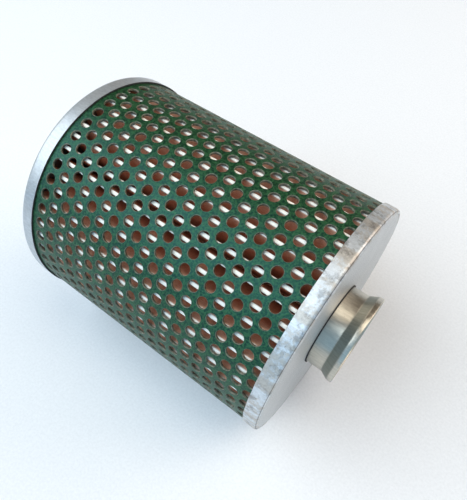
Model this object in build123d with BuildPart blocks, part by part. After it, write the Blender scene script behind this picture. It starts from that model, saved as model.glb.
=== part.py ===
"""Cylindrical compressed air filter element, lying on its side.

Frame: the origin is the centre of the neck end cap's outer face, +X runs along
the element's axis and out of the neck, +Z is up.  Lengths are in millimetres.
Angles round the axis are counted from +Z, turning right-handed about +X.
"""
import os
from math import atan2, cos, radians, sin, tan

from build123d import *

# Whole element
body_length = 115.0        # outer face to outer face of the two end caps
cap_radius = 49.0

# End caps, pressed from sheet
cap_sheet = 0.6
cap_skirt = 5.8            # height of the rim that grips the tube
cap_corner = 1.3           # outside radius where the face turns into the rim
cap_inner_corner = cap_corner - cap_sheet

# Perforated sheet, 4 mm holes staggered at 60 degrees on a 6 mm pitch
hole_diameter = 4.0
hole_pitch = 6.0
row_pitch = hole_pitch * sin(radians(60))
rows_along = 20

# Outer tube
tube_radius = 48.3
tube_sheet = 1.0
holes_round = 51
first_row = 9.7            # from the closed cap's outer face to the first row
first_hole_angle = 3.56

# Inner core tube
core_radius = 22.0
core_sheet = 1.0
core_holes_round = 23
core_first_hole_angle = 0.0

# Pleated paper
pleats = 58
paper = 0.5
pleat_tip_radius = 46.9    # crest of the outer folds, from the axis
pleat_root_radius = 22.3   # crest of the inner folds, from the axis
fold_radius = 0.45         # of the paper's mid-surface in every fold
first_pleat_angle = 4.31

# Clip that closes the paper's side seam over one outer fold
clip_sheet = 0.25
clip_depth = 6.0
clip_clearance = 0.1
clip_pleat = 29

# Potting that seals the ends of the paper into the caps
potting_depth = 3.0

# Neck
neck_radius = 16.9
neck_sheet = 0.8
neck_height = 12.2
flare_start = 6.8
flare_end = 10.3
lip_radius = 18.7
neck_flange_radius = 25.0
neck_bend = 0.8            # radius on the bore side where the neck meets its flange
flare_round = 1.0          # outside radius where the flare meets the lip
lip_round = 0.35

# Rubber ring between the neck and the end cap
seal_width = 0.6
seal_proud = 0.45          # how far it shows beyond the cap's face

# Places along the axis; the outer tube's ends sit on the caps' inner corners
closed_face = -body_length
closed_inside = closed_face + cap_sheet
neck_inside = -cap_sheet
flange_inside = neck_inside - neck_sheet
tube_closed_end = closed_inside + cap_inner_corner
tube_neck_end = neck_inside - cap_inner_corner
paper_closed_end = closed_inside + potting_depth
paper_neck_end = neck_inside - potting_depth
paper_length = paper_neck_end - paper_closed_end

tube_bore_radius = tube_radius - tube_sheet
core_bore_radius = core_radius - core_sheet
neck_bore_radius = neck_radius - neck_sheet
seal_radius = neck_radius + seal_width

# Looks along the axis from the neck end, its X pointing up: polar angles in a
# sketch on it are angles round the axis
across_axis = Plane(origin=(0, 0, 0), x_dir=(0, 0, 1), z_dir=(1, 0, 0))


def spun(corners, rounded):
    """Face between corners (along the axis, radius), the listed ones rounded."""
    with BuildSketch(Plane.XZ) as profile:
        with BuildLine():
            Polyline(*corners, close=True)
        make_face()
        for index, radius in rounded:
            corner = profile.vertices().sort_by_distance(corners[index])[0]
            fillet(corner, radius)
    return profile.sketch


def cap_profile(face, inward, hole_radius):
    """Section of a pressed cap whose outer face is at x = face.

    inward is +1 or -1, the direction along X from the face into the cap.
    """
    skirt_end = face + inward * cap_skirt
    inside = face + inward * cap_sheet
    inner_radius = cap_radius - cap_sheet
    corners = [
        (face, hole_radius),
        (face, cap_radius),
        (skirt_end, cap_radius),
        (skirt_end, inner_radius),
        (inside, inner_radius),
        (inside, hole_radius),
    ]
    return spun(corners, [(1, cap_corner), (4, cap_inner_corner)])


def perforated_tube(outer_radius, sheet, start, end, first_row_at, count, angle):
    """Tube from x = start to x = end with staggered rows of round holes."""
    spacing = 360 / count
    with BuildPart() as tube:
        with BuildSketch(across_axis.offset(start)):
            Circle(outer_radius)
            Circle(outer_radius - sheet, mode=Mode.SUBTRACT)
        extrude(amount=end - start)
        drills = []
        for row in range(rows_along):
            along = first_row_at + row * row_pitch
            stagger = spacing / 2 * (row % 2)
            for hole in range(count):
                turn = angle + stagger + hole * spacing
                way_out = Vector(0, 0, 1).rotate(Axis.X, turn)
                middle = Vector(along, 0, 0) + way_out * (outer_radius - sheet / 2)
                drills.append(Plane(origin=middle, z_dir=way_out))
        with Locations(*drills):
            Cylinder(hole_diameter / 2, 3 * sheet, mode=Mode.SUBTRACT)
    return tube.part


def pleat_point(angle, out, across):
    """Point beside the ray at angle: out along the ray, across to its left."""
    turn = radians(angle)
    x = out * cos(turn) - across * sin(turn)
    y = out * sin(turn) + across * cos(turn)
    return (x, y)


def pleat_outline(tip_fold, root_fold):
    """Closed star of round folds, with the given radii at tips and roots."""
    spacing = 360 / pleats
    tip_centre = pleat_tip_radius - fold_radius - paper / 2
    root_centre = pleat_root_radius + fold_radius + paper / 2
    with BuildLine() as outline:
        for pleat in range(pleats):
            tip = first_pleat_angle + pleat * spacing
            root = tip + spacing / 2
            next_tip = tip + spacing
            tip_right = pleat_point(tip, tip_centre, -tip_fold)
            tip_crest = pleat_point(tip, tip_centre + tip_fold, 0)
            tip_left = pleat_point(tip, tip_centre, tip_fold)
            root_right = pleat_point(root, root_centre, -root_fold)
            root_crest = pleat_point(root, root_centre - root_fold, 0)
            root_left = pleat_point(root, root_centre, root_fold)
            next_right = pleat_point(next_tip, tip_centre, -tip_fold)
            ThreePointArc(tip_right, tip_crest, tip_left)
            Line(tip_left, root_right)
            ThreePointArc(root_right, root_crest, root_left)
            Line(root_left, next_right)
    return outline.line


def folded_paper():
    """One sheet of paper folded into a closed star."""
    with BuildPart() as star:
        with BuildSketch(across_axis.offset(paper_closed_end)):
            with BuildLine():
                add(pleat_outline(fold_radius + paper / 2, fold_radius - paper / 2))
            make_face()
            with BuildLine(mode=Mode.PRIVATE) as hollow:
                add(pleat_outline(fold_radius - paper / 2, fold_radius + paper / 2))
            make_face(hollow.edges(), mode=Mode.SUBTRACT)
        extrude(amount=paper_length)
    return star.part


def seam_clip():
    """Folded strip closed over the crest of one pleat, as long as the paper."""
    angle = first_pleat_angle + clip_pleat * 360 / pleats
    inside_radius = fold_radius + paper / 2 + clip_clearance
    outside_radius = inside_radius + clip_sheet
    tip_centre = pleat_tip_radius - fold_radius - paper / 2
    with BuildPart() as clip:
        with BuildSketch(across_axis.offset(paper_closed_end)):
            for radius, mode in ((outside_radius, Mode.ADD), (inside_radius, Mode.SUBTRACT)):
                crest = pleat_point(angle, tip_centre, 0)
                leg = pleat_point(angle, tip_centre - clip_depth / 2, 0)
                with Locations(crest):
                    Circle(radius, mode=mode)
                with Locations(Location(leg, angle)):
                    Rectangle(clip_depth, 2 * radius, mode=mode)
        extrude(amount=paper_length)
    return clip.part


os.makedirs("parts", exist_ok=True)

# Closed end cap: a plain pressed cup
with BuildPart() as closed_end_cap:
    add(cap_profile(closed_face, 1, 0))
    revolve(axis=Axis.X)
closed_end_cap.part.label = "closed_end_cap"
export_step(closed_end_cap.part, "parts/closed_end_cap.step")

# Neck end cap: the same cup with a round hole for the neck and its seal
with BuildPart() as neck_end_cap:
    add(cap_profile(0, -1, seal_radius))
    revolve(axis=Axis.X)
neck_end_cap.part.label = "neck_end_cap"
export_step(neck_end_cap.part, "parts/neck_end_cap.step")

# Outer tube: rolled perforated sheet held between the two caps
with BuildPart() as outer_perforated_tube:
    add(
        perforated_tube(
            tube_radius, tube_sheet, tube_closed_end, tube_neck_end,
            closed_face + first_row, holes_round, first_hole_angle,
        )
    )
outer_perforated_tube.part.label = "outer_perforated_tube"
export_step(outer_perforated_tube.part, "parts/outer_perforated_tube.step")

# Inner core: the same sheet rolled to a smaller tube between the two pottings
with BuildPart() as inner_perforated_core:
    add(
        perforated_tube(
            core_radius, core_sheet, paper_closed_end, paper_neck_end,
            closed_face + first_row, core_holes_round, core_first_hole_angle,
        )
    )
inner_perforated_core.part.label = "inner_perforated_core"
export_step(inner_perforated_core.part, "parts/inner_perforated_core.step")

# Pleated paper between the core and the outer tube
with BuildPart() as pleated_paper:
    add(folded_paper())
pleated_paper.part.label = "pleated_paper"
export_step(pleated_paper.part, "parts/pleated_paper.step")

# Clip over the pleat where the paper's two side edges meet
with BuildPart() as paper_seam_clip:
    add(seam_clip())
paper_seam_clip.part.label = "paper_seam_clip"
export_step(paper_seam_clip.part, "parts/paper_seam_clip.step")

# Closed end potting: a full disc, so that the core is blind at this end
with BuildPart() as closed_end_potting:
    with BuildSketch(across_axis.offset(closed_inside)):
        Circle(tube_bore_radius)
    extrude(amount=potting_depth)
closed_end_potting.part.label = "closed_end_potting"
export_step(closed_end_potting.part, "parts/closed_end_potting.step")

# Neck end potting: a ring, stepped round the neck's flange
with BuildPart() as neck_end_potting:
    potting_corners = [
        (paper_neck_end, core_bore_radius),
        (flange_inside, core_bore_radius),
        (flange_inside, neck_flange_radius),
        (neck_inside, neck_flange_radius),
        (neck_inside, tube_bore_radius),
        (paper_neck_end, tube_bore_radius),
    ]
    add(spun(potting_corners, []))
    revolve(axis=Axis.X)
neck_end_potting.part.label = "neck_end_potting"
export_step(neck_end_potting.part, "parts/neck_end_potting.step")

# Neck: flanged inside the cap, flared to a larger lip outside it
with BuildPart() as neck_spigot:
    flare_angle = atan2(lip_radius - neck_radius, flare_end - flare_start)
    wall_shift = neck_sheet * tan(flare_angle / 2)
    lip_bore_radius = lip_radius - neck_sheet
    neck_corners = [
        (flange_inside, neck_flange_radius),
        (neck_inside, neck_flange_radius),
        (neck_inside, neck_radius),
        (flare_start, neck_radius),
        (flare_end, lip_radius),
        (neck_height, lip_radius),
        (neck_height, lip_bore_radius),
        (flare_end + wall_shift, lip_bore_radius),
        (flare_start + wall_shift, neck_bore_radius),
        (flange_inside, neck_bore_radius),
    ]
    neck_rounds = [
        (3, flare_round),
        (4, flare_round + neck_sheet),
        (5, lip_round),
        (6, lip_round),
        (7, flare_round),
        (8, flare_round + neck_sheet),
        (9, neck_bend),
    ]
    add(spun(neck_corners, neck_rounds))
    revolve(axis=Axis.X)
neck_spigot.part.label = "neck_spigot"
export_step(neck_spigot.part, "parts/neck_spigot.step")

# Seal: rubber ring that fills the cap's hole round the neck
with BuildPart() as neck_seal_ring:
    with BuildSketch(across_axis.offset(neck_inside)):
        Circle(seal_radius)
        Circle(neck_radius, mode=Mode.SUBTRACT)
    extrude(amount=cap_sheet + seal_proud)
neck_seal_ring.part.label = "neck_seal_ring"
export_step(neck_seal_ring.part, "parts/neck_seal_ring.step")
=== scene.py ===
"""Looks of a compressed air filter element lying on a pale floor."""

import bisect
import math
import random

import bmesh
import bpy
from mathutils import Matrix, Vector, noise


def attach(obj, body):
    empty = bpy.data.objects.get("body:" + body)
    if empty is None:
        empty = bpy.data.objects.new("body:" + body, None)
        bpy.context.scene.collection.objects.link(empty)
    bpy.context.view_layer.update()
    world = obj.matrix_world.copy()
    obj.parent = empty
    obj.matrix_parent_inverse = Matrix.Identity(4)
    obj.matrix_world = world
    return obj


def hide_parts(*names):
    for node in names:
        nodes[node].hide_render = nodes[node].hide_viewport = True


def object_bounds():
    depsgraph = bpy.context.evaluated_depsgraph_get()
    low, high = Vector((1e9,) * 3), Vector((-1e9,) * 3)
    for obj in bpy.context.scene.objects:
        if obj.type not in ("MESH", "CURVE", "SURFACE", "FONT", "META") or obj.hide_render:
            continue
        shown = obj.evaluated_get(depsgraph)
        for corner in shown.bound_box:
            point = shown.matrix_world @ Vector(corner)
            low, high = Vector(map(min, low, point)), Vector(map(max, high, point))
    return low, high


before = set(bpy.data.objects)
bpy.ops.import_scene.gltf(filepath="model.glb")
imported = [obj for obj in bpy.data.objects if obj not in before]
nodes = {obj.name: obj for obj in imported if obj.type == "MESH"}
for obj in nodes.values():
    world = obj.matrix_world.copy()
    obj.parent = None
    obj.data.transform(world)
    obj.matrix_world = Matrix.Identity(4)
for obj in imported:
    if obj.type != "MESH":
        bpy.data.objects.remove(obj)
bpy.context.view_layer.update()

MM = 0.001

# Sizes of the part, in millimetres, as its CAD has them
CAP_R = 49.0
CAP_SHEET = 0.6
CAP_SKIRT = 5.8
CAP_CORNER = 1.3
BODY_LENGTH = 115.0
TUBE_R = 48.3
TUBE_SHEET = 1.0
TUBE_START = -113.7
TUBE_END = -1.3
HOLE_R = 2.0
HOLES_ROUND = 51
ROWS = 20
HOLE_PITCH = 6.0
ROW_PITCH = HOLE_PITCH * math.sin(math.radians(60))
FIRST_ROW_X = -BODY_LENGTH + 9.7
FIRST_HOLE = math.radians(3.56)
PAPER_START = -111.4
PAPER_END = -3.6
PLEATS = 58
PAPER = 0.5
PLEAT_TIP_R = 46.9
PLEAT_ROOT_R = 22.3
FOLD_R = 0.45
FIRST_PLEAT = 4.31
NECK_R = 16.9
NECK_SHEET = 0.8
NECK_HEIGHT = 12.2
FLARE_START = 6.8
FLARE_END = 10.3
LIP_R = 18.7
NECK_FLANGE_R = 25.0
NECK_BEND = 1.0         # inner radius of the bends at the flare
LIP_ROUND = 0.35
SEAL_R = 17.5

# What the photograph adds to the plain shapes, in millimetres and degrees
HOLE_RIM = 0.12         # rounding of the punched holes' edges
GROOVE_R = CAP_R - CAP_CORNER - 0.4
GROOVE_DEPTH = 0.3      # shallow ring pressed into the neck cap's face
CUT_CHAMFER = 0.06      # on the outer edge of a cap's cut end
NO_HOLE = 0.0005        # so small that the blind cap's middle merges to a point
CORNER_LINE_R = CAP_R - 0.5
CORNER_LINE_HALF = 0.35      # painted reflection and shade: dark line round the neck cap's corner
SKIRT_FROM = 47.2       # radii between which a cap's face turns into its skirt
SKIRT_FULL = 47.9
FLARE_BLEND = 0.4       # over which the neck's polish gives way to the duller flare
TIP_RISE = 0.25         # how far a pleat's crest may stand out further
PLEAT_SEED = 144965
UNEVEN = 0.8            # how far a pleat may stray from its place
BUNCH = 2.06            # how far the pleats bunch up, twice round the part
BUNCH_AT = 68.7
BUNCH_TURN = 2.45
SWAY = 0.003            # how far a pleat wanders along its length, in radians

# How finely the meshes are made
CELL_SIDE = 8           # edges along each side of the square round a hole
CAP_SEGMENTS = 540
NECK_SEGMENTS = 256
FACE_STEP = 3.2         # between the rings of points across a cap's face
FOLD_STEPS = 8
FOLD_POWER = 0.5        # under 1 squares the folds up
WALL_STEPS = 4
STATIONS = 28           # rings along the paper
MERGE_WITHIN = 0.002    # points this near in millimetres become one
SHOULDER = 0.15         # how much of the painted crest highlight the paper keeps just below a crest


# ---------------------------------------------------------------- materials

class Nodes:
    """Small helper round a material's node tree.

    A source is given as a node and the name or number of its output.
    """

    def __init__(self, name):
        self.material = bpy.data.materials.new(name)
        self.material.use_nodes = True
        self.tree = self.material.node_tree
        self.tree.nodes.clear()
        self.shader = self.add("ShaderNodeBsdfPrincipled")
        out = self.add("ShaderNodeOutputMaterial")
        self.link(self.shader, "BSDF", out, "Surface")

    def add(self, kind, **settings):
        node = self.tree.nodes.new(kind)
        for key, value in settings.items():
            setattr(node, key, value)
        return node

    def link(self, a, out, b, into):
        self.tree.links.new(a.outputs[out], b.inputs[into])

    def coords(self, scale=(1, 1, 1)):
        """Object coordinates in millimetres, multiplied by scale."""
        coord = self.add("ShaderNodeTexCoord")
        mapping = self.add("ShaderNodeMapping")
        mapping.inputs["Scale"].default_value = tuple(s / MM for s in scale)
        self.link(coord, "Object", mapping, "Vector")
        return mapping

    def round_coords(self, along, across, out_scale=0.0):
        """Coordinates (X, angle, radius) about the X axis, each scaled."""
        coord = self.add("ShaderNodeTexCoord")
        split = self.add("ShaderNodeSeparateXYZ")
        self.link(coord, "Object", split, "Vector")
        angle = self.add("ShaderNodeMath", operation="ARCTAN2")
        self.link(split, "Y", angle, 0)
        self.link(split, "Z", angle, 1)
        length = self.add("ShaderNodeVectorMath", operation="LENGTH")
        flat = self.add("ShaderNodeCombineXYZ")
        self.link(split, "Y", flat, "Y")
        self.link(split, "Z", flat, "Z")
        self.link(flat, "Vector", length, 0)
        parts = []
        for source, socket, scale in (
            (split, "X", along / MM),
            (angle, "Value", across),
            (length, "Value", out_scale / MM),
        ):
            scaled = self.add("ShaderNodeMath", operation="MULTIPLY")
            self.link(source, socket, scaled, 0)
            scaled.inputs[1].default_value = scale
            parts.append(scaled)
        join = self.add("ShaderNodeCombineXYZ")
        for part, axis in zip(parts, "XYZ"):
            self.link(part, "Value", join, axis)
        return join

    def radius_mask(self, start, end):
        """0 inside the start radius, 1 outside the end radius, in mm."""
        flat = self.add("ShaderNodeVectorMath", operation="MULTIPLY")
        flat.inputs[1].default_value = (0, 1 / MM, 1 / MM)
        self.link(self.add("ShaderNodeTexCoord"), "Object", flat, 0)
        length = self.add("ShaderNodeVectorMath", operation="LENGTH")
        self.link(flat, "Vector", length, 0)
        mask = self.add("ShaderNodeMapRange")
        mask.inputs["From Min"].default_value = start
        mask.inputs["From Max"].default_value = end
        self.link(length, "Value", mask, "Value")
        return mask

    def along_mask(self, start, end):
        """0 before the start, 1 past the end, along the X axis in mm."""
        split = self.add("ShaderNodeSeparateXYZ")
        self.link(self.coords(), "Vector", split, "Vector")
        mask = self.add("ShaderNodeMapRange")
        mask.inputs["From Min"].default_value = start
        mask.inputs["From Max"].default_value = end
        self.link(split, "X", mask, "Value")
        return mask

    def noise(self, vector, scale, detail=2.0, roughness=0.5):
        node = self.add("ShaderNodeTexNoise")
        node.inputs["Scale"].default_value = scale
        node.inputs["Detail"].default_value = detail
        node.inputs["Roughness"].default_value = roughness
        self.link(vector, "Vector", node, "Vector")
        return node

    def ramp(self, source, out, stops):
        node = self.add("ShaderNodeValToRGB")
        points = node.color_ramp.elements
        while len(points) < len(stops):
            points.new(0.5)
        for point, (place, colour) in zip(points, stops):
            point.position = place
            point.color = (*colour, 1)
        self.link(source, out, node, "Fac")
        return node

    def grey_ramp(self, source, out, low, high, low_at=0.3, high_at=0.7):
        stops = [(low_at, (low,) * 3), (high_at, (high,) * 3)]
        return self.ramp(source, out, stops)

    def times(self, a, b):
        """Product of two colours, each a (node, output) pair or a colour."""
        return self.mix(1.0, None, a, b, "MULTIPLY")

    def mix(self, factor, factor_out, a, b, kind="MIX"):
        """Colour between a and b, each a (node, output) pair or a colour."""
        node = self.add("ShaderNodeMix", data_type="RGBA", blend_type=kind)
        if isinstance(factor, float):
            node.inputs["Factor"].default_value = factor
        else:
            self.link(factor, factor_out, node, "Factor")
        for value, index in ((a, 6), (b, 7)):
            if isinstance(value, tuple) and isinstance(value[0], bpy.types.Node):
                self.tree.links.new(value[0].outputs[value[1]], node.inputs[index])
            else:
                node.inputs[index].default_value = (*value, 1)
        return node

    def bump(self, source, out, distance, strength=1.0, under=None):
        node = self.add("ShaderNodeBump")
        node.inputs["Distance"].default_value = distance * MM
        node.inputs["Strength"].default_value = strength
        self.link(source, out, node, "Height")
        if under is not None:
            self.link(under, "Normal", node, "Normal")
        return node

    def set(self, **values):
        for key, value in values.items():
            self.shader.inputs[key.replace("_", " ")].default_value = value


def paint_material():
    """Green powder coat: dark green with a cool sheen and a fine grain."""
    n = Nodes("green_powder_coat")
    at = n.coords()
    fine = n.noise(at, 1.4, 3.0, 0.65)
    broad = n.noise(at, 0.09, 2.0)
    speckle = [(0.42, (0.001, 0.014, 0.004)), (0.58, (0.026, 0.086, 0.029))]
    speckled = n.ramp(fine, "Fac", speckle)
    tone = n.ramp(broad, "Fac", [(0.35, (0.88, 0.9, 0.88)), (0.65, (1.0, 1.0, 1.0))])
    colour = n.times((speckled, "Color"), (tone, "Color"))
    n.link(colour, 2, n.shader, "Base Color")
    rough = n.grey_ramp(fine, "Fac", 0.36, 0.5)
    n.link(rough, "Color", n.shader, "Roughness")
    n.set(IOR=1.5, Specular_Tint=(0.32, 1.0, 0.95, 1.0))
    grain = n.bump(fine, "Fac", 0.16, 1.0)
    n.link(grain, "Normal", n.shader, "Normal")
    return n.material


def hole_edge_material():
    """Edges of the punched holes, mottled from dark green to pale beige."""
    n = Nodes("hole_edge")
    fine = n.noise(n.coords(), 1.1, 3.0)
    colour = n.ramp(fine, "Fac", [(0.3, (0.045, 0.065, 0.04)), (0.7, (0.25, 0.235, 0.18))])
    n.link(colour, "Color", n.shader, "Base Color")
    n.set(Roughness=0.5)
    return n.material


def paper_material():
    """Filter paper with painted light: crests painted pale as if lit, walls painted brown as if
    in shade.

    The mesh's "crest" attribute says where: 1 on a crest, 0 down a wall.
    """
    n = Nodes("filter_paper")
    fibres = n.noise(n.coords((0.35, 1.0, 1.0)), 2.2, 4.0, 0.6)
    # painted shade: the walls are brown, standing for the shade and warm bounce down the folds
    walls = n.ramp(fibres, "Fac", [(0.3, (0.72, 0.29, 0.15)), (0.7, (0.92, 0.53, 0.34))])
    # painted highlight: the crests are near white, as where the light falls on them
    pale = n.ramp(fibres, "Fac", [(0.3, (0.95, 0.91, 0.82)), (0.7, (1.0, 0.98, 0.92))])
    crest = n.add("ShaderNodeAttribute", attribute_name="crest")
    colour = n.mix(crest, "Fac", (walls, "Color"), (pale, "Color"))
    n.link(colour, 2, n.shader, "Base Color")
    n.set(Roughness=0.9)
    bump = n.bump(fibres, "Fac", 0.04, 0.5)
    n.link(bump, "Normal", n.shader, "Normal")
    return n.material


def cap_material(name, stain, painted_corner_line):
    """Pressed sheet, satin on its face; stain is 0 on a clean skirt, 1 on a dull one."""
    n = Nodes(name)

    def between(clean, stained):
        return clean + (stained - clean) * stain

    grain = n.noise(n.coords(), 2.4, 3.0, 0.65)
    cloud = n.noise(n.coords(), 0.12, 3.0, 0.55)
    band = n.noise(n.round_coords(0.02, 6.5), 1.0, 2.0, 0.6)
    scratch = n.noise(n.round_coords(0.5, 60.0), 1.0, 4.0, 0.7)
    spots = n.noise(n.coords(), 0.8, 4.0, 0.7)
    handled = n.noise(n.coords(), 0.28, 5.0, 0.75)

    face = n.ramp(grain, "Fac", [(0.35, (0.41, 0.43, 0.44)), (0.65, (0.63, 0.655, 0.665))])
    # painted shade: on a clean skirt the metal is a darker copy of the same sheet, down to 0.69
    # times as light
    skirt_painted_shade = between(0.69, 1.0)
    dark = (0.53 * skirt_painted_shade, 0.565 * skirt_painted_shade, 0.60 * skirt_painted_shade)
    light = (0.74 * skirt_painted_shade, 0.785 * skirt_painted_shade, 0.825 * skirt_painted_shade)
    skirt = n.ramp(scratch, "Fac", [(0.3, dark), (0.7, light)])
    # brown bands across the skirt, broken up by the spots
    brown = n.ramp(spots, "Fac", [(0.35, (0.34, 0.30, 0.255)), (0.68, (0.60, 0.56, 0.50))])
    broken = n.mix(0.3, None, (band, "Fac"), (spots, "Fac"))
    where = n.grey_ramp(broken, 2, 0.0, between(0.0, 0.8), 0.47, 0.54)
    banded = n.mix(where, "Color", (skirt, "Color"), (brown, "Color"))
    smudge = n.grey_ramp(handled, "Fac", between(1.0, 0.58), 1.0, 0.37, 0.49)
    marked = n.times((banded, 2), (smudge, "Color"))
    on_skirt = n.radius_mask(SKIRT_FROM, SKIRT_FULL)
    colour = n.mix(on_skirt, 0, (face, "Color"), (marked, 2))
    if painted_corner_line:
        # painted reflection and shade: a dark line painted round the rounded corner
        across = n.radius_mask(CORNER_LINE_R - CORNER_LINE_HALF, CORNER_LINE_R + CORNER_LINE_HALF)
        line = n.ramp(across, 0, [(0.2, (1.0,) * 3), (0.5, (0.25,) * 3), (0.8, (1.0,) * 3)])
        colour = n.times((colour, 2), (line, "Color"))
    n.link(colour, 2, n.shader, "Base Color")

    face_rough = n.grey_ramp(cloud, "Fac", 0.36, 0.46)
    skirt_rough = n.grey_ramp(spots, "Fac", between(0.30, 0.36), between(0.36, 0.56))
    rough = n.mix(on_skirt, 0, (face_rough, "Color"), (skirt_rough, "Color"))
    n.link(rough, 2, n.shader, "Roughness")
    n.set(Metallic=between(0.5, 0.72))
    lines = n.bump(grain, "Fac", 0.03, 0.6)
    dents = n.bump(scratch, "Fac", between(0.02, 0.06), 0.5, lines)
    n.link(dents, "Normal", n.shader, "Normal")
    return n.material


def neck_material():
    """Satin spun metal with fine streaks, a few dark specks and a flare painted darker as a
    painted reflection.
    """
    n = Nodes("spun_neck_metal")
    streaks = n.noise(n.round_coords(0.25, 26.0, 0.25), 1.0, 4.0, 0.65)
    specks = n.noise(n.coords((1.0, 0.5, 0.5)), 1.6, 4.0, 0.7)
    tone = n.ramp(streaks, "Fac", [(0.3, (0.42, 0.40, 0.345)), (0.7, (0.57, 0.545, 0.475))])
    marks = n.ramp(specks, "Fac", [(0.27, (0.55, 0.52, 0.48)), (0.36, (1.0, 1.0, 1.0))])
    spun = n.times((tone, "Color"), (marks, "Color"))
    turned = n.times((spun, 2), (0.66, 0.72, 0.71))
    # painted reflection: the flare is painted darker and greener than the level runs on either
    # side, for the dark body it faces
    past_start = n.along_mask(FLARE_START, FLARE_START + FLARE_BLEND)
    past_end = n.along_mask(FLARE_END - FLARE_BLEND, FLARE_END)
    flare = n.mix(past_start, 0, (spun, 2), (turned, 2))
    colour = n.mix(past_end, 0, (flare, 2), (spun, 2))
    n.link(colour, 2, n.shader, "Base Color")
    rough = n.grey_ramp(streaks, "Fac", 0.28, 0.38)
    n.link(rough, "Color", n.shader, "Roughness")
    n.set(Metallic=1.0)
    lines = n.bump(streaks, "Fac", 0.005, 0.5)
    n.link(lines, "Normal", n.shader, "Normal")
    return n.material


def plain_metal(name, low, high, roughness):
    """Plated steel for the pieces inside."""
    n = Nodes(name)
    grain = n.noise(n.coords(), 1.4, 3.0, 0.6)
    colour = n.ramp(grain, "Fac", [(0.3, low), (0.7, high)])
    n.link(colour, "Color", n.shader, "Base Color")
    rough = n.grey_ramp(grain, "Fac", roughness, roughness + 0.15)
    n.link(rough, "Color", n.shader, "Roughness")
    n.set(Metallic=1.0)
    return n.material


def dull(name, low, high, scale, roughness, bump):
    """Non-metal with a mottled colour and a little relief."""
    n = Nodes(name)
    grain = n.noise(n.coords(), scale, 4.0, 0.6)
    colour = n.ramp(grain, "Fac", [(0.3, low), (0.7, high)])
    n.link(colour, "Color", n.shader, "Base Color")
    rough = n.grey_ramp(grain, "Fac", roughness, min(1.0, roughness + 0.15))
    n.link(rough, "Color", n.shader, "Roughness")
    relief = n.bump(grain, "Fac", bump, 0.6)
    n.link(relief, "Normal", n.shader, "Normal")
    return n.material


# ------------------------------------------------------------------- meshes

def around(x, radius, angle):
    """Point in metres at x and radius in mm, angle from +Z about +X."""
    return Vector((x, -radius * math.sin(angle), radius * math.cos(angle))) * MM


def mesh_piece(name, points, faces, materials, face_slots=None, sharp=35.0, crest=None):
    """Smooth-shaded piece, hard along edges that turn by more than sharp degrees."""
    mesh = bpy.data.meshes.new(name)
    mesh.from_pydata(points, [], faces)
    if crest:
        mesh.attributes.new("crest", "FLOAT", "POINT").data.foreach_set("value", crest)
    for material in materials:
        mesh.materials.append(material)
    if face_slots:
        mesh.polygons.foreach_set("material_index", face_slots)
    bm = bmesh.new()
    bm.from_mesh(mesh)
    bmesh.ops.remove_doubles(bm, verts=bm.verts, dist=MERGE_WITHIN * MM)
    bmesh.ops.recalc_face_normals(bm, faces=bm.faces)
    for face in bm.faces:
        face.smooth = True
    for edge in bm.edges:
        if edge.is_manifold and edge.calc_face_angle(0.0) > math.radians(sharp):
            edge.smooth = False
    bm.to_mesh(mesh)
    bm.free()
    piece = bpy.data.objects.new(name, mesh)
    bpy.context.scene.collection.objects.link(piece)
    return piece


def stand_for(piece, node):
    """Show the piece in place of its CAD node, on the one body."""
    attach(piece, "root")
    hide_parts(node)


def soften(piece):
    """Weighted normals keep large flat faces flat beside small rounds."""
    weighted = piece.modifiers.new("weighted", "WEIGHTED_NORMAL")
    weighted.keep_sharp = True
    weighted.weight = 100


def arc(x, radius, size, start, end, steps):
    """Points (x, radius) on a circle of the given size, angles in degrees."""
    points = []
    for step in range(steps + 1):
        turn = math.radians(start + (end - start) * step / steps)
        points.append((x + size * math.cos(turn), radius + size * math.sin(turn)))
    return points


def lathe(name, profile, segments, materials, shift=None, sharp=35.0, slots=None):
    """Closed profile of (x, radius) turned round the X axis."""
    points, faces = [], []
    face_slots = slots * segments if slots else None
    count = len(profile)
    for step in range(segments):
        angle = 2 * math.pi * step / segments
        for x, radius in profile:
            moved_x, moved_r = shift(x, radius, angle) if shift else (x, radius)
            points.append(around(moved_x, moved_r, angle))
    for step in range(segments):
        here, there = step * count, (step + 1) % segments * count
        for index in range(count):
            after = (index + 1) % count
            faces.append((here + index, here + after, there + after, there + index))
    return mesh_piece(name, points, faces, materials, face_slots, sharp)


def cell_outline():
    """Points round a square from -1 to 1, from one corner and evenly spaced."""
    corners = [(1, -1), (1, 1), (-1, 1), (-1, -1)]
    outline = []
    for start, end in zip(corners, corners[1:] + corners[:1]):
        for step in range(CELL_SIDE):
            part = step / CELL_SIDE
            outline.append(tuple(a + (b - a) * part for a, b in zip(start, end)))
    return outline


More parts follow.
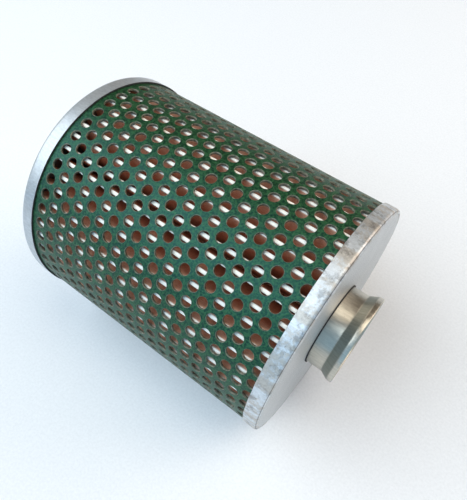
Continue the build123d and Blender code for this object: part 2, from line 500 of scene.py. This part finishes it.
def perforated_tube(paint, edge):
    """Sheet with rounded holes: each hole in its own square cell of quads."""
    half_x, half_turn = ROW_PITCH / 2, math.pi / HOLES_ROUND
    inner_r = TUBE_R - TUBE_SHEET
    outline = cell_outline()
    count = len(outline)
    bearings = [math.atan2(v * half_turn * TUBE_R, u * half_x) for u, v in outline]
    points, faces, slots = [], [], []

    def square_ring(x, angle, radius):
        for u, v in outline:
            points.append(around(x + u * half_x, radius, angle + v * half_turn))
        return len(points) - count

    def round_ring(x, angle, size, radius):
        for bearing in bearings:
            turn = angle + size * math.sin(bearing) / TUBE_R
            points.append(around(x + size * math.cos(bearing), radius, turn))
        return len(points) - count

    def join(first, second, number, slot):
        for index in range(number):
            after = (index + 1) % number
            faces.append((first + index, first + after, second + after, second + index))
            slots.append(slot)

    for row in range(ROWS):
        x = FIRST_ROW_X + row * ROW_PITCH
        for hole in range(HOLES_ROUND):
            angle = FIRST_HOLE + (hole + 0.5 * (row % 2)) * 2 * half_turn
            rings = [
                square_ring(x, angle, TUBE_R),
                round_ring(x, angle, HOLE_R + HOLE_RIM, TUBE_R),
                round_ring(x, angle, HOLE_R + HOLE_RIM * 0.3, TUBE_R - HOLE_RIM * 0.3),
                round_ring(x, angle, HOLE_R, TUBE_R - HOLE_RIM),
                round_ring(x, angle, HOLE_R, inner_r + HOLE_RIM),
                round_ring(x, angle, HOLE_R + HOLE_RIM, inner_r),
                square_ring(x, angle, inner_r),
            ]
            materials = [0, 1, 1, 1, 1, 0]
            for first, second, slot in zip(rings, rings[1:], materials):
                join(first, second, count, slot)

    # plain bands at both ends, and the sheet's cut ends
    steps = CELL_SIDE * HOLES_ROUND
    last_x = FIRST_ROW_X + (ROWS - 1) * ROW_PITCH + half_x
    first_turn = FIRST_HOLE - half_turn
    for edge_x, far_x, turn in (
        (FIRST_ROW_X - half_x, TUBE_START, first_turn),
        (last_x, TUBE_END, first_turn + half_turn),
    ):
        loops = []
        section = [(edge_x, TUBE_R), (far_x, TUBE_R), (far_x, inner_r), (edge_x, inner_r)]
        for x, radius in section:
            loops.append(len(points))
            for step in range(steps):
                points.append(around(x, radius, turn + step * 2 * math.pi / steps))
        for first, second in zip(loops, loops[1:]):
            join(first, second, steps, 0)
    piece = mesh_piece("green_perforated_tube", points, faces, [paint, edge], slots, 50.0)
    soften(piece)
    return piece


def fold_points(angle, centre, size, side):
    """Squarish half fold about a line at angle; side is 1 at a crest, -1 at a root."""
    made = []
    for step in range(FOLD_STEPS + 1):
        turn = math.radians(-90 + 180 * step / FOLD_STEPS)
        across = math.copysign(abs(math.sin(turn)) ** FOLD_POWER, turn) * size
        out = centre + side * size * math.cos(turn) ** FOLD_POWER
        made.append((math.hypot(out, across), angle + math.atan2(across, out)))
    return made


def wall_points(start, end, steps):
    """Points between two (radius, angle) places, on the straight line."""
    a = Vector((start[0] * math.cos(start[1]), start[0] * math.sin(start[1])))
    b = Vector((end[0] * math.cos(end[1]), end[0] * math.sin(end[1])))
    made = []
    for step in range(1, steps):
        place = a.lerp(b, step / steps)
        made.append((place.length, math.atan2(place.y, place.x)))
    return made


def paper_loop(tips, crest_fold, root_fold):
    """Closed outline of one side of the sheet, and how much painted crest highlight each point
    gets.
    """
    half_fold = FOLD_R + PAPER / 2
    outline, crest = [], []
    for pleat, (tip, tip_r) in enumerate(tips):
        following, following_r = tips[(pleat + 1) % PLEATS]
        if following < tip:
            following += 2 * math.pi
        top = fold_points(tip, tip_r - half_fold, crest_fold, 1)
        root = fold_points((tip + following) / 2, PLEAT_ROOT_R + half_fold, root_fold, -1)
        next_top = fold_points(following, following_r - half_fold, crest_fold, 1)
        down = wall_points(top[-1], root[0], WALL_STEPS)
        up = wall_points(root[-1], next_top[0], WALL_STEPS)
        outline += top + down + root + up
        crest += [SHOULDER] + [1.0] * (len(top) - 2) + [SHOULDER]
        crest += [0.0] * (len(down) + len(root) + len(up))
    return outline, crest


def pleated_paper(material):
    """One folded sheet, its pleats a little uneven as hand-set paper is."""
    rng = random.Random(PLEAT_SEED)
    spacing = 360 / PLEATS
    tips = []
    for pleat in range(PLEATS):
        even = pleat * spacing
        # the pleat under the seam clip, half a turn away, stays in its place
        share = min(1.0, 1.0 + math.cos(math.radians(even)))
        bunched = BUNCH_TURN + BUNCH * math.cos(2 * math.radians(even + BUNCH_AT))
        angle = FIRST_PLEAT + even + share * (bunched + rng.uniform(-UNEVEN, UNEVEN))
        tips.append((math.radians(angle), PLEAT_TIP_R + share * rng.uniform(0.0, TIP_RISE)))
    points, faces, crest = [], [], []
    outer_fold, inner_fold = FOLD_R + PAPER / 2, FOLD_R - PAPER / 2
    for station in range(STATIONS + 1):
        x = PAPER_START + (PAPER_END - PAPER_START) * station / STATIONS
        swayed = []
        for pleat, (angle, radius) in enumerate(tips):
            sway = SWAY * noise.noise(Vector((x * 0.03, pleat * 3.7, 1.0)))
            swayed.append((angle + sway, radius))
        outer, outer_crest = paper_loop(swayed, outer_fold, inner_fold)
        inner, inner_crest = paper_loop(swayed, inner_fold, outer_fold)
        points += [around(x, radius, angle) for radius, angle in outer + inner]
        crest += outer_crest + inner_crest
        count = len(outer)
    for station in range(STATIONS):
        a, b = station * 2 * count, (station + 1) * 2 * count
        for index in range(count):
            after = (index + 1) % count
            faces.append((a + index, a + after, b + after, b + index))
            i, j = count + index, count + after
            faces.append((a + j, a + i, b + i, b + j))
    # the sheet's cut ends, between its outer and inner loops
    for a in (0, STATIONS * 2 * count):
        b = a + count
        for index in range(count):
            after = (index + 1) % count
            faces.append((a + index, a + after, b + after, b + index))
    return mesh_piece("pleated_filter_paper", points, faces, [material], sharp=60.0, crest=crest)


def cap_profile(face, inward, hole_r, groove):
    """Section of a pressed cap: face at x = face, inward is +1 or -1.

    With it comes a material for each stretch: 0 outside, 1 at the cut edge and inside, painted
    near black as the shadow in the gap round the tube.
    """
    inner_r = CAP_R - CAP_SHEET
    inner_corner = CAP_CORNER - CAP_SHEET
    back = face + inward * CAP_SHEET
    end = face + inward * CAP_SKIRT
    along = 180 if inward > 0 else 0

    # rings across the flat face, as far as the groove
    spaced = [hole_r + 1.0 + FACE_STEP * step for step in range(20)]
    rings = [radius for radius in spaced if radius < GROOVE_R - 1.2]
    # the groove is level again 0.4 mm on either side of its middle
    dip = []
    for step in (-0.4, -0.26, -0.13, 0.0, 0.13, 0.26, 0.4):
        depth = groove * math.cos(step * 3.9) ** 2
        dip.append((face + inward * depth, GROOVE_R + step))
    corner_x = face + inward * CAP_CORNER
    corner = arc(corner_x, CAP_R - CAP_CORNER, CAP_CORNER, along, 90, 8)
    skirt = [(corner_x + inward * step * 0.9, CAP_R) for step in range(1, 5)]
    outside = [(face, hole_r)] + [(face, radius) for radius in rings]
    outside += dip + corner + skirt

    cut = [(end - inward * CUT_CHAMFER, CAP_R), (end, CAP_R - CUT_CHAMFER)]
    inner_x = back + inward * inner_corner
    inside = [(end, inner_r)] + [(x, inner_r) for x, _ in reversed(skirt)]
    inside += arc(inner_x, inner_r - inner_corner, inner_corner, 90, along, 6)
    inside += [(back, radius) for radius in reversed(rings)] + [(back, hole_r)]

    profile = outside + cut + inside
    return profile, [0] * len(outside) + [1] * len(cut + inside)


def skirt_shape(face, inward, flatness, ripple, seed):
    """Rolled skirt: uneven flats round it and a ripple along its open edge."""
    rng = random.Random(seed)
    # bearings in degrees at which one flat ends and the next begins
    edges = [0.0]
    while edges[-1] < 351.0:
        edges.append(edges[-1] + rng.uniform(5, 11))
    edges[-1] = 360.0
    flats = [rng.uniform(0.2, 1.0) * flatness for _ in edges[1:]]

    def shift(x, radius, angle):
        # the face and the beginning of its corner stay as they are
        if radius < CAP_R - CAP_SHEET - 0.8:
            return x, radius
        degrees = math.degrees(angle) % 360
        place = min(bisect.bisect_right(edges, degrees) - 1, len(flats) - 1)
        middle = (edges[place] + edges[place + 1]) / 2
        half = (edges[place + 1] - edges[place]) / 2
        chord = math.cos(math.radians(half)) / math.cos(math.radians(degrees - middle))
        # the flats fade in along the skirt, and the ripple is at its open edge
        run = abs(x - face) / CAP_SKIRT
        pressed = 1 - flats[place] * (1 - chord) * min(1.0, run * 2.5)
        spot = Vector((math.cos(angle), math.sin(angle), seed)) * 11.0
        ragged = ripple * (0.5 + 0.5 * noise.noise(spot)) if run > 0.9 else 0.0
        return x - inward * ragged, radius * pressed

    return shift


def neck_profile():
    """Section of the neck: flange behind the cap, level run, flare and lip."""
    flare = math.atan2(LIP_R - NECK_R, FLARE_END - FLARE_START)
    shift = NECK_SHEET * math.tan(flare / 2)
    bore, lip_bore = NECK_R - NECK_SHEET, LIP_R - NECK_SHEET
    degrees = math.degrees(flare)

    def corner(x, radius, size, start, end, concave):
        """Arc that rounds the corner between a level run and the flare."""
        cut = size * math.tan(flare / 2)
        if concave:
            centre = (x - cut, radius + size)
        else:
            centre = (x + cut, radius - size)
        return arc(centre[0], centre[1], size, start, end, 6)

    wide_bend = NECK_BEND + NECK_SHEET
    low = corner(FLARE_START, NECK_R, NECK_BEND, -90, -90 + degrees, True)
    high = corner(FLARE_END, LIP_R, wide_bend, 90 + degrees, 90, False)
    low_in = corner(FLARE_START + shift, bore, wide_bend, -90 + degrees, -90, True)
    high_in = corner(FLARE_END + shift, lip_bore, NECK_BEND, 90, 90 + degrees, False)
    lip_x = NECK_HEIGHT - LIP_ROUND
    lip_out = arc(lip_x, LIP_R - LIP_ROUND, LIP_ROUND, 90, 0, 5)
    lip_in = arc(lip_x, lip_bore + LIP_ROUND, LIP_ROUND, 0, -90, 5)
    flange_low, flange_high = -CAP_SHEET - NECK_SHEET, -CAP_SHEET
    bend = arc(flange_high, NECK_R, NECK_SHEET, 270, 180, 5)
    profile = [(flange_low, NECK_FLANGE_R), (flange_high, NECK_FLANGE_R)]
    # rings along the level run keep its shading even
    level = (1.0, 3.0, 5.0)
    profile += [(flange_high, NECK_R)] + [(x, NECK_R) for x in level]
    profile += low + high + lip_out + lip_in + high_in + low_in
    profile += [(x, bore) for x in reversed(level)]
    return profile + bend


# ------------------------------------------------------------------- pieces

tube = perforated_tube(paint_material(), hole_edge_material())
stand_for(tube, "outer_perforated_tube")

folded = pleated_paper(paper_material())
stand_for(folded, "pleated_paper")

clean_metal = cap_material("closed_cap_metal", 0.15, painted_corner_line=False)
stained_metal = cap_material("neck_cap_metal", 1.0, painted_corner_line=True)
# painted shadow: the caps' cut edges and insides are near black, standing for the shade in the
# gap between cap and tube
gap_shadow_edge = dull("painted_gap_shadow", (0.015, 0.017, 0.018), (0.05, 0.05, 0.05), 1.4, 0.6, 0.03)

profile, slots = cap_profile(-BODY_LENGTH, 1, NO_HOLE, 0.0)
skirt = skirt_shape(-BODY_LENGTH, 1, flatness=0.1, ripple=0.05, seed=2)
metals = [clean_metal, gap_shadow_edge]
closed_cap = lathe("blind_end_cap", profile, CAP_SEGMENTS, metals, skirt, slots=slots)
stand_for(closed_cap, "closed_end_cap")

profile, slots = cap_profile(0.0, -1, SEAL_R, GROOVE_DEPTH)
skirt = skirt_shape(0.0, -1, flatness=0.6, ripple=0.22, seed=5)
metals = [stained_metal, gap_shadow_edge]
neck_cap = lathe("open_end_cap", profile, CAP_SEGMENTS, metals, skirt, slots=slots)
stand_for(neck_cap, "neck_end_cap")

neck = lathe("flared_neck", neck_profile(), NECK_SEGMENTS, [neck_material()], sharp=40.0)
stand_for(neck, "neck_spigot")

# the pieces inside are the CAD's own, with a material each
POTTING = ((0.10, 0.10, 0.095), (0.16, 0.155, 0.15), 0.3, 0.6, 0.3)
inside = {
    "inner_perforated_core": plain_metal("zinc_plate", (0.5, 0.5, 0.5), (0.66, 0.67, 0.68), 0.35),
    "paper_seam_clip": plain_metal("clip_plate", (0.5, 0.49, 0.47), (0.62, 0.61, 0.6), 0.3),
    "closed_end_potting": dull("potting", *POTTING),
    "neck_end_potting": dull("potting_ring", *POTTING),
    # the ring round the neck's base is near black, where a dark line runs between neck and cap
    "neck_seal_ring": dull("seal_rubber", (0.012,) * 3, (0.03,) * 3, 1.5, 0.6, 0.05),
}
for node, material in inside.items():
    mesh = nodes[node].data
    mesh.materials.clear()
    mesh.materials.append(material)

# -------------------------------------------------------------------- stage

# the stage is in metres
FLOOR_HALF = 3.0
MIDDLE = (-0.057, 0.0, 0.0)

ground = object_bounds()[0].z
corners = [(-1, -1), (1, -1), (1, 1), (-1, 1)]
floor_points = [(x * FLOOR_HALF, y * FLOOR_HALF, ground) for x, y in corners]
floor_mesh = bpy.data.meshes.new("floor")
floor_mesh.from_pydata(floor_points, [], [(0, 1, 2, 3)])
card = dull("floor_card", (0.79, 0.80, 0.82), (0.86, 0.87, 0.89), 0.9, 0.9, 0.12)
floor_mesh.materials.append(card)
floor = bpy.data.objects.new("floor", floor_mesh)
bpy.context.scene.collection.objects.link(floor)


def area_light(name, shape, place, size, power, colour):
    """Lamp at a place in metres, turned towards the middle of the part."""
    data = bpy.data.lights.new(name, "AREA")
    data.shape = shape
    data.size = size
    data.energy = power
    data.color = colour
    lamp = bpy.data.objects.new(name, data)
    lamp.location = place
    aim = Vector(MIDDLE) - Vector(place)
    lamp.rotation_euler = aim.to_track_quat("-Z", "Y").to_euler()
    bpy.context.scene.collection.objects.link(lamp)


area_light("window", "SQUARE", (-0.62, -0.40, 0.85), 1.1, 13.0, (0.83, 0.93, 1.0))
area_light("ceiling", "DISK", (0.3, 0.3, 1.2), 0.8, 5.2, (1.0, 0.91, 0.78))
area_light("warm_wall", "DISK", (0.7, 0.8, 0.6), 0.9, 7.2, (1.0, 0.82, 0.68))

# The room is pale and cool on the window's side and dim on the other
world = bpy.data.worlds.new("room")
world.use_nodes = True
room = world.node_tree
towards = room.nodes.new("ShaderNodeVectorMath")
towards.operation = "DOT_PRODUCT"
towards.inputs[1].default_value = (0.35, -0.93, 0.0)
walls = room.nodes.new("ShaderNodeValToRGB")
walls.color_ramp.elements[0].color = (0.11, 0.09, 0.065, 1)
walls.color_ramp.elements[1].color = (0.48, 0.79, 1.08, 1)
room.links.new(room.nodes.new("ShaderNodeTexCoord").outputs["Generated"], towards.inputs[0])
room.links.new(towards.outputs["Value"], walls.inputs["Fac"])
room.links.new(walls.outputs["Color"], room.nodes["Background"].inputs["Color"])
bpy.context.scene.world = world
bpy.context.scene.view_settings.view_transform = "Standard"

# ------------------------------------------------------------------- camera

# stands where the photograph was taken from: right, back and above are its axes
camera_data = bpy.data.cameras.new("camera")
camera_data.sensor_width = 36.0
camera_data.lens = 32.29
camera_data.shift_x = -0.0082
camera_data.shift_y = 0.0752
camera_data.clip_start = 0.01
camera_data.clip_end = 20.0
camera = bpy.data.objects.new("camera", camera_data)
right = Vector((0.7974, 0.6035, 0.0)).normalized()
back = Vector((0.2910, -0.3844, 0.8761)).normalized()
above = back.cross(right).normalized()
right = above.cross(back).normalized()
turn = Matrix((right, above, back)).transposed().to_4x4()
camera.matrix_world = Matrix.Translation(Vector((0.01458, -0.07851, 0.15862))) @ turn
bpy.context.scene.collection.objects.link(camera)
bpy.context.scene.camera = camera
